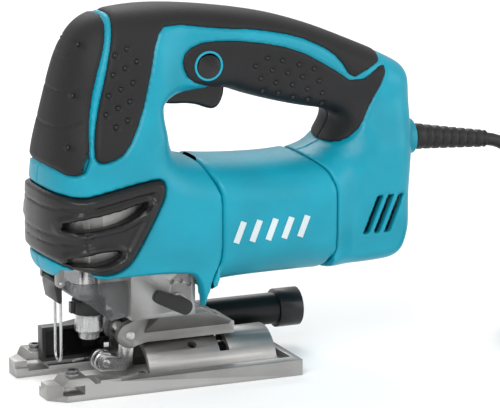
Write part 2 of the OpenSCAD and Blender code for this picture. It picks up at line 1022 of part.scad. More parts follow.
module dust_nozzle() {
    color(black)
        difference() {
            union() {
                scoop(-60, -22, 14.5, rail_h, 28, 0);
                rod_x(-30, 86, nozzle_y, nozzle_z, 2 * nozzle_r);
                rod_x(84, 98, nozzle_y, nozzle_z, 2 * nozzle_r + 4);
                box(18, 30, nozzle_y - 2, nozzle_y + 2, web_t, nozzle_z - nozzle_r + 1);
            }
            scoop(-58, -24, 10, rail_h + 2, 26, 2);
            rod_x(-30.5, 85, nozzle_y, nozzle_z, 2 * nozzle_r - 4);
            rod_x(86, 99, nozzle_y, nozzle_z, 2 * nozzle_r);
            box(-25, -20, 10, 19, rail_h + 2, 26);
        }
}

// ---- controls -------------------------------------------------------------------------

module trigger() {
    color(black)
        difference() {
            across(-7.4, 7.4)
                polygon([[2, 166 + lift], [9, 168.6 + lift], [38, 166 + lift], [38, 158 + lift],
                    [36, 149 + lift], [28, 153 + lift], [4, 155 + lift]]);
            rod_y(-9, 9, trigger_x, trigger_z, trigger_pin_d + 2 * run_fit);
        }
}

module trigger_pin() {
    color(steel)
        rod_y(-15, 15, trigger_x, trigger_z, trigger_pin_d);
}

module switch_body() {
    color("#3b3c40")
        box(44, 78, -9, 9, 162 + lift, 184 + lift);
}

module lock_button() {
    color(black)
        union() {
            rod_y(-handle_w / 2 - 1.2, -handle_w / 2 + 5, button_x, button_z, button_d);
            rod_y(-handle_w / 2 + 5, -2, button_x, button_z, 5);
        }
}

module orbital_lever() {
    color(black)
        union() {
            rod_y(-case_low_w / 2 - 8.5, -case_low_w / 2 - 2 - 0.1, hub_x, hub_z, 8.6);
            rod_y(-case_low_w / 2 - 3, -case_low_w / 2 + 5, hub_x, hub_z, 6);
            translate([hub_x, 0, hub_z])
                rotate([0, -65, 0])
                    across(-shoe_w / 2 + 0.2, -34.4)
                        polygon(rounded([[-4.4, -4.4, 4], [4.4, -4.4, 4], [3.6, lever_l, 3],
                            [-3.6, lever_l, 3]]));
        }
}

// ---- electrics ------------------------------------------------------------------------

module control_board() {
    color("#2f6b46")
        box(112.5, 132, -18, 18, 61.5, 64.5);
}

module cord_clamp() {
    color(black)
        difference() {
            box(128, 138, -12, 12, cord_z - 10, cord_z - 3);
            rod_x(127, 139, 0, cord_z, cord_d + 1);
        }
}

module cord_gland() {
    color(blue)
        difference() {
            rod_x(gland_x, gland_x + 8, 0, cord_z, gland_d);
            rod_x(gland_x - 1, gland_x + 9, 0, cord_z, gland_d - 4.6);
        }
}

module cord_guard() {
    color(black)
        translate([gland_x + 1, 0, cord_z + 0.5])
            rotate([0, 90 + guard_droop, 0])
                rotate_extrude()
                    polygon([[cord_d / 2, 0], [6.2, 0], [6.2, 9], [7.2, 9.5], [7.2, 14], [6.2, 34],
                        [5, guard_l], [cord_d / 2, guard_l]]);
}

// Points of the free part of the cord, chosen by hand.
cord_path = [
    [152, 0, 121.3], [170, 0, 119.2], [190, 0, 117], [204, 0, 115.3], [214, 0.5, 112.6],
    [223, 1.5, 106.5], [230, 3, 98], [235, 5, 88], [238, 6.5, 77], [240.5, 8, 66], [243, 9.5, 55],
    [246.5, 10.7, 44], [251.5, 11.4, 34], [259, 11.2, 26], [268, 9.8, 21], [279, 5.3, 18.9]
];

// The end of the cord rises off the coil in a curve and runs into the plug.
cord_tail_path = concat(
    [for (a = [90 : -15 : 0])
        [coil_x + coil_r * cos(a), coil_y + coil_r * sin(a), 18.9 + 8 * (90 - a) / 90]],
    [for (a = [-15 : -15 : -90])
        [plug_x + tail_r * cos(a), coil_y + tail_r * sin(a), 26.9 - 8 * a / 90]],
    [[plug_x - 4, plug_y, plug_z]]
);

// Rings of points round a path; up is a direction the path never takes.
function swept(points, r, sides, up) = [
    for (i = [0 : len(points) - 1])
        let (
            a = points[max(0, i - 1)],
            b = points[min(len(points) - 1, i + 1)],
            t = unit(b - a),
            u = unit(cross(t, up)),
            v = cross(t, u)
        )
        for (k = [0 : sides - 1])
            points[i] + r * (cos(360 * k / sides) * u + sin(360 * k / sides) * v)
];

module tube(points, r, sides, up) {
    n = len(points);
    polyhedron(
        swept(points, r, sides, up),
        concat(
            [[for (k = [0 : sides - 1]) k]],
            [for (i = [0 : n - 2]) for (k = [0 : sides - 1])
                [i * sides + k, (i + 1) * sides + k, (i + 1) * sides + (k + 1) % sides,
                    i * sides + (k + 1) % sides]],
            [[for (k = [sides - 1 : -1 : 0]) (n - 1) * sides + k]]
        )
    );
}

module cord_run() {
    color(black) {
        tube(cord_path, cord_d / 2, 10, [0, 1, 0]);
        tube(cord_tail_path, cord_d / 2, 10, [0, 0, 1]);
    }
}

// Turns lie side by side in equal layers, one cord apart.
module cord_coil() {
    color(black)
        translate([coil_x, coil_y, 0])
            rotate_extrude()
                translate([coil_r - coil_w / 2, 0])
                    square([coil_w, coil_h]);
}

module cord_plug() {
    color(black) {
        rod_x(plug_x - 11, plug_x - 3, plug_y, plug_z, 13);
        intersection() {
            box(plug_x - 46, plug_x - 10.5, plug_y - 17, plug_y + 17, coil_h, coil_h + 24);
            rod_x(plug_x - 60, plug_x, plug_y, plug_z, 38);
        }
        for (y = [-9.5, 9.5])
            rod_x(plug_x - 65, plug_x - 45, plug_y + y, plug_z, 4.8);
    }
}

housing_left();
housing_right();
motor_housing();
front_bumper();
nose_grip();
handle_grip();
palm_grip_left();
palm_grip_right();
gear_case();
gear_case_cover();
case_screws();
housing_screws();
shoe_bracket();
retainer_pin();
guard_wire();
lever_pin();
trigger_pin();
switch_body();
control_board();
cord_clamp();
stator_core();
field_coils();
brush_holders();
carbon_brushes();
brush_springs();
front_bearing();
rear_bearing();
gear_axle();
plunger_bushes();
plunger_seal();
shoe_bolt();
shoe_clamp_plate();
cord_gland();
cord_guard();
cord_run();
cord_coil();
cord_plug();
armature_shaft();
armature_core();
armature_windings();
commutator();
cooling_fan();
pinion();
crank_gear();
crank_pin();
plunger_rod();
plunger_yoke();
blade_clamp();
clamp_sleeve();
release_lever();
dust_cover();
trigger();
lock_button();
orbital_lever();
retainer_arm();
roller_axle();
roller();
shoe();
fence_screws();
dust_nozzle();
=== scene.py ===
# %% [markdown]
# # A jigsaw, finished for show
# A jigsaw is a clamshell housing round a motor, with a soft handle, a cast gear case and
# a flat sole plate. The engineering model gives every piece its place. This lesson keeps
# the metal pieces as they are and gives them finishes, and shapes the moulded pieces anew,
# because moulded plastic has no flat facets and no sharp corners.

# %% Load the frame
import json
import math
import bpy
import bmesh
import numpy as np
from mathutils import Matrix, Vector


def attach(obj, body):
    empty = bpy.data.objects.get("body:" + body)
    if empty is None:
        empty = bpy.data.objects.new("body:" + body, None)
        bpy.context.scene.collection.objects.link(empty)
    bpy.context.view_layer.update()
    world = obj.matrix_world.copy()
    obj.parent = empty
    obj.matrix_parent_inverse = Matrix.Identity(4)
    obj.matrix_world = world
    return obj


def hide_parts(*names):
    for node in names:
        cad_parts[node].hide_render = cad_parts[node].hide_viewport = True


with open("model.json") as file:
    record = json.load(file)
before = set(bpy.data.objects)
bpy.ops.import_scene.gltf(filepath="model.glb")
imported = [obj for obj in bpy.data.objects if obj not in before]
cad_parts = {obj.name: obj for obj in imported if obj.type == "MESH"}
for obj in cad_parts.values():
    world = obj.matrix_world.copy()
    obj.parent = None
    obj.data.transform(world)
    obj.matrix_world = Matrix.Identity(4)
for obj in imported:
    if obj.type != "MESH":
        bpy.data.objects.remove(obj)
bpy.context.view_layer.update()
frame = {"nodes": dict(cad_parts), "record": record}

MM = 0.001
scene = bpy.context.scene

# %% [markdown]
# The camera stands low and to the front left of the tool, with a long lens, so that the
# sole plate's edges stay nearly parallel. It could be placed by eye. Polar coordinates
# round a target point are easier to correct: an azimuth, a height and a distance.

# %% Camera
camera_azimuth = math.radians(-23.46)
camera_height = math.radians(13.0)
camera_distance = 1.9517
camera_target = Vector((0.05847, 0.0, 0.09027))
back = Vector((math.sin(camera_azimuth) * math.cos(camera_height),
               -math.cos(camera_azimuth) * math.cos(camera_height), math.sin(camera_height)))
camera_data = bpy.data.cameras.new("camera")
camera_data.sensor_width = 36
camera_data.lens = 252.74
camera_data.clip_end = 50
camera = bpy.data.objects.new("camera", camera_data)
camera.location = camera_target + camera_distance * back
camera.rotation_euler = back.to_track_quat("Z", "Y").to_euler()
scene.collection.objects.link(camera)
scene.camera = camera
print("camera at", [round(v, 3) for v in camera.location])

# %% [markdown]
# Every finish is a small node tree. Two noises at different sizes give the grain of the
# mould and the slow change of colour, and the edge wear comes from pointiness, which is
# high on edges that hands rub. One function builds them all, since only sizes differ.

# %% Finishes
def finish(name, colour, rough, grain=900.0, bump=0.15, metal=0.0, wear=0.25, drift=0.08,
           worn_colour=None, sheen=0.0, streak=(1, 1, 1), specular=0.35):
    material = bpy.data.materials.new(name)
    material.use_nodes = True
    tree = material.node_tree
    shader = tree.nodes["Principled BSDF"]
    shader.inputs["Metallic"].default_value = metal
    shader.inputs["Sheen Weight"].default_value = sheen
    shader.inputs["Specular IOR Level"].default_value = specular
    place = tree.nodes.new("ShaderNodeTexCoord")
    stretch = tree.nodes.new("ShaderNodeMapping")
    stretch.inputs["Scale"].default_value = streak
    tree.links.new(place.outputs["Object"], stretch.inputs["Vector"])

    def noise(scale, detail):
        node = tree.nodes.new("ShaderNodeTexNoise")
        node.inputs["Scale"].default_value = scale
        node.inputs["Detail"].default_value = detail
        tree.links.new(stretch.outputs["Vector"], node.inputs["Vector"])
        return node.outputs["Fac"]

    def ramp(source, low, high, a, b):
        node = tree.nodes.new("ShaderNodeMapRange")
        node.inputs["From Min"].default_value = low
        node.inputs["From Max"].default_value = high
        node.inputs["To Min"].default_value = a
        node.inputs["To Max"].default_value = b
        tree.links.new(source, node.inputs["Value"])
        return node.outputs["Result"]

    def mixed(fac, a, b):
        node = tree.nodes.new("ShaderNodeMix")
        node.data_type = "RGBA"
        tree.links.new(fac, node.inputs["Factor"])
        for socket, value in (("A", a), ("B", b)):
            target = [s for s in node.inputs if s.name == socket and s.type == "RGBA"][0]
            if isinstance(value, bpy.types.NodeSocket):
                tree.links.new(value, target)
            else:
                target.default_value = (*value, 1)
        return [s for s in node.outputs if s.type == "RGBA"][0]

    slow = ramp(noise(35.0, 3.0), 0.35, 0.65, 0.0, 1.0)
    dark = tuple(c * (1 - drift) for c in colour)
    light = tuple(min(1, c * (1 + drift)) for c in colour)
    body = mixed(slow, dark, light)
    shape = tree.nodes.new("ShaderNodeNewGeometry")
    edge = ramp(shape.outputs["Pointiness"], 0.52, 0.60, 0.0, wear)
    worn = worn_colour or tuple(min(1, c * 1.5 + 0.03) for c in colour)
    tree.links.new(mixed(edge, body, worn), shader.inputs["Base Color"])
    fine = noise(grain, 2.0)
    tree.links.new(ramp(fine, 0.3, 0.7, rough - 0.07, rough + 0.07), shader.inputs["Roughness"])
    relief = tree.nodes.new("ShaderNodeBump")
    relief.inputs["Strength"].default_value = bump
    relief.inputs["Distance"].default_value = 0.0002
    tree.links.new(fine, relief.inputs["Height"])
    tree.links.new(relief.outputs["Normal"], shader.inputs["Normal"])
    return material


shell_blue = finish("moulded_blue_nylon", (0.0, 0.250, 0.345), 0.42, grain=1500, bump=0.12, wear=0.3)
grip_black = finish("soft_black_elastomer", (0.009, 0.009, 0.010), 0.60, grain=1800, bump=0.5,
                    wear=0.2, specular=0.3)
hard_black = finish("moulded_black_nylon", (0.008, 0.008, 0.0085), 0.36, grain=1500, bump=0.2)
gloss_black = finish("smooth_black_plastic", (0.007, 0.007, 0.0075), 0.24, grain=900, bump=0.04)
cast_grey = finish("blasted_casting", (0.27, 0.265, 0.26), 0.46, grain=1400, bump=0.7, metal=0.9,
                   wear=0.5, drift=0.12, worn_colour=(0.62, 0.62, 0.61))
sole_steel = finish("pressed_sole_metal", (0.27, 0.265, 0.255), 0.43, grain=1300, bump=0.6,
                    metal=0.9, wear=0.5, drift=0.12, worn_colour=(0.60, 0.60, 0.60))
ground_steel = finish("ground_steel", (0.48, 0.48, 0.48), 0.27, grain=700, bump=0.15, metal=1.0,
                      wear=0.5, worn_colour=(0.85, 0.85, 0.85), streak=(1, 1, 9))
dark_steel = finish("oiled_dark_steel", (0.10, 0.10, 0.105), 0.40, grain=900, bump=0.2, metal=0.9,
                    wear=0.7, worn_colour=(0.4, 0.4, 0.4))
copper_wire = finish("enamelled_copper", (0.55, 0.22, 0.09), 0.35, grain=700, bump=0.4, metal=0.9)
bronze = finish("sintered_bronze", (0.55, 0.38, 0.16), 0.5, grain=1200, bump=0.3, metal=0.9)
core_grey = finish("stacked_core_sheet", (0.12, 0.12, 0.13), 0.5, grain=900, bump=0.3, metal=0.6,
                   streak=(12, 1, 1))
board_green = finish("circuit_board", (0.02, 0.14, 0.06), 0.4, grain=500, bump=0.1)
felt_grey = finish("oiled_felt", (0.12, 0.115, 0.10), 0.95, grain=900, bump=0.8, sheen=0.4)
cord_black = finish("cord_rubber", (0.009, 0.009, 0.009), 0.48, grain=1300, bump=0.12)
bar_grey = finish("printed_grey_bars", (0.50, 0.58, 0.60), 0.40, grain=1500, bump=0.08, wear=0.1)

smoke = finish("smoky_clear_cover", (0.10, 0.10, 0.105), 0.10, grain=600, bump=0.03, wear=0.1)
smoke_shader = smoke.node_tree.nodes["Principled BSDF"]
smoke_shader.inputs["Transmission Weight"].default_value = 0.6
smoke_shader.inputs["IOR"].default_value = 1.5
smoke_shader.inputs["Alpha"].default_value = 0.62
print("finishes", len(bpy.data.materials))

# %% [markdown]
# The cord leaves through a soft guard, drops to the bench and is wound in a flat coil
# under its plug. A curve with a round bevel is the simplest cord: it has one centre line,
# so its length can be measured. Its first points are the engineering model's own points.

# %% Cord route
cord_width = 7.5 * MM
free_points = [(152, 0, 121.3), (170, 0, 119.2), (190, 0, 117), (204, 0, 115.3),
               (214, 0.5, 112.6), (223, 1.5, 106.5), (230, 3, 98), (235, 5, 88), (238, 6.5, 77),
               (240.5, 8, 66), (243, 9.5, 55), (246.5, 10.7, 44), (251.5, 11.4, 34),
               (259, 11.2, 26), (268, 9.8, 21)]
coil_centre = (256.0, -35.0)
inner_lane, middle_lane, outer_lane = 31.5, 39.0, 46.5
low_layer, middle_layer, top_layer = 3.9, 11.4, 18.9
coil_top = 23.0
tail_radius = 31.0
plug_height = coil_top + 12
landing_angle = 60


def ring_point(angle, radius, height):
    a = math.radians(angle)
    return (coil_centre[0] + radius * math.cos(a), coil_centre[1] + radius * math.sin(a), height)


def wound_points(step=15):
    """Turns that go down the outside, in along the bench and up the inside, clockwise."""
    lanes = [(outer_lane, top_layer), (outer_lane, middle_layer), (outer_lane, low_layer),
             (middle_lane, low_layer), (inner_lane, low_layer), (inner_lane, middle_layer),
             (inner_lane, top_layer), (middle_lane, top_layer)]
    points = []
    for turn, (radius, height) in enumerate(lanes):
        after = lanes[min(turn + 1, len(lanes) - 1)]
        first = 90 - landing_angle if turn == 0 else 0
        for k in range(first, 360, step):
            t = max(0.0, (k - 270) / 90)
            smooth = t * t * (3 - 2 * t)
            points.append(ring_point(90 - k, radius + (after[0] - radius) * smooth,
                                     height + (after[1] - height) * smooth))
    return points


plug_x = coil_centre[0] + middle_lane - tail_radius
plug_y = coil_centre[1] - tail_radius
rise = [ring_point(a, middle_lane, top_layer + 8 * (90 - a) / 90) for a in range(90, -1, -15)]
bend = [(plug_x + tail_radius * math.cos(math.radians(a)),
         coil_centre[1] + tail_radius * math.sin(math.radians(a)), top_layer + 8 - 8 * a / 90)
        for a in range(-15, -91, -15)]
route = free_points + wound_points() + rise + bend + [(plug_x - 4, plug_y, plug_height)]
print("cord points", len(route))

# %% [markdown]
# ## Shapes that a mould would give
# A moulded housing has soft edges everywhere. It could be drawn as a cage of patches and
# subdivided. Here each piece is a rule instead: a side outline, a width for each point of
# it, and a rounding at its edge. A point is inside where the rule is negative, and a net
# is drawn through the places where the rule changes sign.

# %% Outlines and distances
def soften(points, turns=2):
    """Cuts the corners of a closed outline, so that it turns smoothly."""
    p = np.array(points, float)
    for _ in range(turns):
        q = np.roll(p, -1, axis=0)
        p = np.stack([0.75 * p + 0.25 * q, 0.25 * p + 0.75 * q], axis=1).reshape(-1, 2)
    return p


def outline_distance(x, z, points):
    """Distance to a closed outline, negative inside it."""
    x, z = np.broadcast_arrays(x, z)
    best = np.full(x.shape, 1e9)
    inside = np.zeros(x.shape, bool)
    for (x0, z0), (x1, z1) in zip(points, np.roll(points, -1, axis=0)):
        dx, dz = x1 - x0, z1 - z0
        t = np.clip(((x - x0) * dx + (z - z0) * dz) / (dx * dx + dz * dz + 1e-12), 0, 1)
        best = np.minimum(best, (x - x0 - t * dx) ** 2 + (z - z0 - t * dz) ** 2)
        crosses = (z0 > z) != (z1 > z)
        inside ^= crosses & (x < x0 + (z - z0) * dx / (dz if abs(dz) > 1e-12 else 1e-12))
    return np.where(inside, -1.0, 1.0) * np.sqrt(best)


def ease(value, low, high):
    t = np.clip((value - low) / (high - low), 0, 1)
    return t * t * (3 - 2 * t)


def surface_net(name, rule, low, high, cell):
    """A closed mesh through the places where the rule changes sign."""
    axes = [np.arange(a, b + cell, cell) for a, b in zip(low, high)]
    x, y, z = axes[0][:, None, None], axes[1][None, :, None], axes[2][None, None, :]
    value = np.broadcast_to(rule(x, y, z), tuple(len(a) for a in axes)).astype(np.float64)
    value = np.where(np.abs(value) < 1e-6, 1e-6, value)
    size = tuple(n - 1 for n in value.shape)
    total = np.zeros(size + (3,))
    count = np.zeros(size)
    for axis in range(3):
        a = value[tuple(slice(0, -1) if k == axis else slice(None) for k in range(3))]
        b = value[tuple(slice(1, None) if k == axis else slice(None) for k in range(3))]
        cut = (a < 0) != (b < 0)
        t = np.where(cut, a / np.where(cut, a - b, 1), 0)
        others = [k for k in range(3) if k != axis]
        for i in (0, 1):
            for j in (0, 1):
                part = [None] * 3
                part[axis] = slice(0, size[axis])
                part[others[0]] = slice(i, i + size[others[0]])
                part[others[1]] = slice(j, j + size[others[1]])
                part = tuple(part)
                c, s = cut[part], t[part]
                count += c
                total[..., axis] += np.where(c, s, 0)
                total[..., others[0]] += c * i
                total[..., others[1]] += c * j
    used = count > 0
    number = np.full(size, -1, np.int64)
    number[used] = np.arange(used.sum())
    where = np.argwhere(used)
    places = np.array(low) + cell * (where + total[used] / count[used][:, None])
    faces = []
    for axis in range(3):
        a = value[tuple(slice(0, -1) if k == axis else slice(1, -1) for k in range(3))]
        b = value[tuple(slice(1, None) if k == axis else slice(1, -1) for k in range(3))]
        i = np.argwhere((a < 0) != (b < 0))
        if not len(i):
            continue
        leaving = a[tuple(i.T)] < 0
        u, v = (axis + 1) % 3, (axis + 2) % 3
        corner = i.copy()
        for k in range(3):
            if k != axis:
                corner[:, k] += 1
        ring = []
        for du, dv in ((0, 0), (1, 0), (1, 1), (0, 1)):
            c = corner.copy()
            c[:, u] -= 1 - du
            c[:, v] -= 1 - dv
            ring.append(number[tuple(c.T)])
        ring = np.stack(ring, axis=1)
        ring[~leaving] = ring[~leaving][:, ::-1]
        faces.append(ring)
    faces = np.concatenate(faces)
    mesh = bpy.data.meshes.new(name)
    mesh.from_pydata((places * MM).tolist(), [], faces.tolist())
    mesh.validate()
    mesh.shade_smooth()
    obj = bpy.data.objects.new(name, mesh)
    scene.collection.objects.link(obj)
    print(name, len(mesh.polygons), "faces")
    return obj


# %% [markdown]
# The whole housing is one rule: its side outline, its width at each point, and how far
# from the edge the side begins to turn. The two shells, the motor housing and the grips
# are parts of that one body, so their surfaces meet without steps, as they do on a real
# tool whose mould tools are cut together.

# %% The body's rule
side_outline = soften([(-60, 62), (8, 62), (13, 57), (15, 43), (16, 41.5), (20, 41.5), (21.5, 50),
                       (27, 53.5), (60, 54.5), (128, 54), (140, 57), (146, 66), (148.5, 90),
                       (150.5, 120), (152, 150), (150, 163), (138, 170), (117, 179.5), (90, 191),
                       (58, 200.5), (5, 208), (-28, 206.5), (-43, 201), (-52, 187), (-57, 170),
                       (-62, 150), (-66, 128), (-68, 108), (-68, 72), (-66, 65)], 3)
hand_outline = soften([(26, 120.5), (9, 124), (3, 135), (0.5, 148), (1, 157), (36, 161),
                       (52, 154.5), (80, 146.5), (102, 142.5), (107, 138), (103, 129), (96, 120.5),
                       (78, 118), (50, 118.5)], 2)


def half_width(x, z):
    low = 36 - 1.6 * ease(-z, -80, -62) + 1.0 * (ease(x, 26, 26.2) - ease(x, 94.8, 95))
    low = low - 4.6 * ease(x, 94.8, 110)
    column = 36 - 7.5 * ease(z, 116, 166) - 7.5 * ease(z, 165, 212)
    upper = column + (20.6 - column) * ease(x, -6, 16)
    return low + (upper - low) * ease(z, 118, 150)


def edge_reach(x, z):
    front = 25 - 9 * ease(x, -45, -10)
    bottom = 4 + 18 * ease(x, 25, 26.5) - 12 * ease(x, 94, 95)
    return bottom + (front - bottom) * np.maximum(ease(z, 72, 100), ease(-x, 40, 60) * ease(z, 60, 66))


def hand_reach(z):
    return 24 - 14 * ease(z, 122, 142)


squareness = 2.4


def body_rule(x, y, z, grow=0.0):
    """Distance-like value of the whole housing in mm, negative inside."""
    x, z = np.broadcast_arrays(x, z)
    edge = outline_distance(x, z, side_outline)
    hand = -outline_distance(x, z, hand_outline)
    u = np.maximum(0, 1 + (edge - grow) / edge_reach(x, z))
    h = np.maximum(0, 1 + (hand - grow) / hand_reach(z))
    wide = half_width(x, z) + grow
    v = np.abs(y) / wide
    f = (v ** squareness + u ** squareness + h ** squareness) ** (1 / squareness) - 1
    return f * 18.0


# %% [markdown]
# A grip is a patch of soft rubber moulded into a shallow seat. Its edge is a line on the
# side view, so each patch is the body cut by that line. Small dimples in rows keep the
# hand from slipping. They are dents in the rule, at places that follow the patch.

# %% Grip outlines and dimples
bumper_outline = soften([(-90, 119), (-64, 111.5), (-54, 110), (-45, 111.5), (-16, 117), (-7, 117),
                         (-5.5, 111), (-9, 102), (-23, 77), (-29, 69.5), (-38, 66.5), (-50, 68),
                         (-62, 73), (-90, 83)], 1)
nose_outline = soften([(-90, 131), (-66, 125.5), (-58, 121), (-49.5, 125), (-47.5, 148),
                       (-43, 171), (-36, 189), (-31, 205), (-30, 225), (-90, 225)], 1)
side_outline_grip = soften([(-46.2, 129), (-38, 128.5), (-28, 133), (-17, 151), (-11.5, 172),
                            (-6, 193), (1, 199), (34, 193.5), (54, 192), (78, 186.5), (93, 180),
                            (103, 173), (111, 160), (119, 164), (133, 170), (143, 200), (60, 225),
                            (-23, 225), (-27.5, 206), (-32, 193), (-41, 161), (-46, 140)], 1)
palm_outline = soften([(9, 176), (14, 166.5), (28, 161.5), (38, 158.5), (44, 148), (60, 132),
                       (94, 123), (102, 124), (111, 129), (120, 142), (132, 160), (133, 169),
                       (114, 157.5), (99, 168),
                       (78, 180), (50, 186.5), (24, 188.5), (12, 184)], 1)

side_dimples = [(-24, 188), (-31, 185), (-19, 181), (-26, 178), (-33, 175), (-22, 170), (-29, 167),
                (-36, 164), (-24, 160), (-31, 157), (-38, 154), (-26, 150), (-33, 147)]
palm_dimples = [(60, 176), (69, 174), (79, 171), (88, 168), (53, 172), (63, 169), (72, 167),
                (81, 164), (91, 161), (56, 165), (65, 162), (75, 160), (84, 157), (93, 154),
                (58, 158), (67, 156), (76, 153), (85, 151), (94, 148)]
nose_dimples = [(-47, 190), (-53, 164), (-58, 137)]


def dents(x, z, places, radius=2.3, depth=0.9):
    total = 0.0
    for px, pz in places:
        r2 = ((x - px) ** 2 + (z - pz) ** 2) / radius ** 2
        total = total + depth * np.maximum(0, 1 - r2)
    return total


def hollow(x, y, z, wall=3.2):
    """The shell's own thickness: what lies deeper than the wall is left out."""
    return -(body_rule(x, y, z) + wall)


seam = 0.2
join_gap = 0.06


def any_grip(x, z):
    return np.minimum(np.minimum(outline_distance(x, z, nose_outline),
                                 outline_distance(x, z, side_outline_grip)),
                      outline_distance(x, z, palm_outline))


def groove(distance, width=0.9, depth=0.9):
    """A shallow groove along a line on the surface."""
    return depth * np.maximum(0, 1 - (distance / width) ** 2)


def round_hole(x, z, px, pz, radius):
    return radius - np.sqrt((x - px) ** 2 + (z - pz) ** 2)


def vent_slots(x, z):
    """Slanted openings behind the motor, as a distance that is negative inside a slot."""
    best = 1e9
    for k in range(3):
        centre = 120.0 + 6.4 * k + (z - 85) * 0.42
        slot = np.maximum(np.abs(x - centre) - 1.9, np.abs(z - 85) - 10.5)
        best = np.minimum(best, slot)
    return best


button_place = (25.0, 174.5)
near_side = -5.0
trigger_half_width, trigger_half_length, trigger_half_height = 8.0, 19.5, 11.0


def button_gap(x, y, z, radius):
    """The lock-on button's hole, through the near side only."""
    return np.minimum(round_hole(x, z, *button_place, radius), near_side - y)


def trigger_gap(x, y, z):
    """The slot that the trigger moves in, negative inside it."""
    across = np.maximum(np.abs(x - 20) - trigger_half_length, np.abs(z - 160) - trigger_half_height)
    return np.maximum(np.abs(y) - trigger_half_width, across)


def motor_span(x, z):
    """Distance past the two seams of the motor housing, negative between them."""
    front = 27 - 5 * ease(z, 104, 121) - 8 * ease(z, 119, 127) - 6 * ease(-z, -72, -52)
    rear = 95.5 - 2.5 * ease(z, 102, 112) - 12 * ease(z, 110, 124) - 3 * ease(-z, -70, -56)
    return np.maximum(front - x, x - rear)


def shell_rule(x, y, z):
    f = body_rule(x, y, z) + groove(any_grip(x, z)) + groove(outline_distance(x, z, bumper_outline))
    f = f + groove(motor_span(x, z) + 100 * (z > 126), 0.9, 0.7)
    inset = np.maximum(any_grip(x, z), -1.2) * -1.0
    f = f + 1.1 * ease(inset, 0.0, 1.2)
    in_motor = -motor_span(x, z) + join_gap
    not_motor = np.minimum(in_motor, (124 - z) + 0 * x)
    bumper = -outline_distance(x, z, bumper_outline) + join_gap
    cover = np.maximum(np.abs(y) - 29, np.maximum(z - 70, np.maximum(x - 14.3, -62.5 - x)))
    cut = np.maximum(hollow(x, y, z), not_motor)
    cut = np.maximum(cut, bumper)
    cut = np.maximum(cut, -vent_slots(x, z))
    cut = np.maximum(cut, button_gap(x, y, z, 6.9))
    cut = np.maximum(cut, -cover)
    cut = np.maximum(cut, -trigger_gap(x, y, z))
    gland = np.maximum(np.sqrt(y ** 2 + (z - 121) ** 2) - 10.4, 138 - x)
    cut = np.maximum(cut, -gland)
    belly = np.maximum(np.abs(y) - 27.5, np.maximum(z - 66, np.maximum(x - 27, -2 - x)))
    cut = np.maximum(cut, -belly)
    return np.maximum(f, cut)


def left_half(x, y, z):
    return np.maximum(shell_rule(x, y, z), y + seam)


def right_half(x, y, z):
    return np.maximum(shell_rule(x, y, z), seam - y)


def motor_rule(x, y, z):
    ends = motor_span(x, z) + join_gap
    f = body_rule(x, y, z) - 0.5 * ease(-ends, 0.5, 2.5) + groove(ends, 0.9, 0.7)
    label = np.maximum(outline_distance(x, z, label_outline), -30 - y)
    f = f + groove(np.abs(label) + np.maximum(0, y + 5) * 10, 0.8, 0.5)
    return np.maximum(np.maximum(f, ends), np.maximum(-(f + 3.5), z - 124 + join_gap))


label_outline = soften([(22, 97.5), (84, 96.5), (93, 86), (82, 74), (20, 75.5)], 1)
fine = 1.15
box_low, box_high = (-72, -40, 38), (156, 40, 212)

shell_left = surface_net("shell_left", left_half, box_low, (156, 3, 212), fine)
shell_right = surface_net("shell_right", right_half, (-72, -3, 38), box_high, fine)
motor_shell = surface_net("motor_shell", motor_rule, (22, -42, 48), (99, 42, 124), fine)


# %% Grips from the same rule
def grip_rule(outline, raised, places, side=None, thick=2.6, crease_heights=()):
    def rule(x, y, z):
        x, z = np.broadcast_arrays(x, z)
        edge = outline_distance(x, z, outline)
        creases = 0.0
        for height in crease_heights:
            creases = creases + groove(z - height - 0.35 * (x + 60) + 50 * (x > -51), 0.8, 0.6)
        swell = raised * ease(-edge, 0.0, 2.2) - 0.35
        f = body_rule(x, y, z) - swell + dents(x, z, places) + creases
        value = np.maximum(np.maximum(f, edge + 0.15), -(f + thick))
        value = np.maximum(value, button_gap(x, y, z, 7.0))
        value = np.maximum(value, -trigger_gap(x, y, z))
        if side is not None:
            value = np.maximum(value, side * -y + seam)
        return value
    return rule


def louvre_distance(x, z):
    upper = outline_distance(x, z, soften([(-64, 91.5), (-62, 98), (-36, 101), (-18, 106),
                                           (-16, 103.5), (-24, 97.5), (-36, 93.5)], 1))
    lower = outline_distance(x, z, soften([(-62, 73.5), (-60, 78.5), (-36, 80.5), (-31, 78.5),
                                           (-37, 74.5), (-50, 73)], 1))
    return np.minimum(upper, lower)


def bumper_rule(x, y, z):
    x, z = np.broadcast_arrays(x, z)
    edge = outline_distance(x, z, bumper_outline)
    slots = louvre_distance(x, z)
    panel = ease(-edge, 4.5, 7.5) * ease(x, -56, -46)
    f = body_rule(x, y, z) - 1.5 * ease(-edge, 0, 2.5) + 1.1 * panel + 0.2
    for height in (85.5, 90.5, 105):
        f = f + groove(z - height - 0.12 * (x + 60) + 50 * (x > -49), 0.6, 0.4)
    f = f - 0.7 * np.maximum(0, 1 - ((slots - 2.2) / 1.6) ** 2)
    value = np.maximum(np.maximum(f, edge + 0.1), -(f + 4.2))
    return np.maximum(value, -slots)


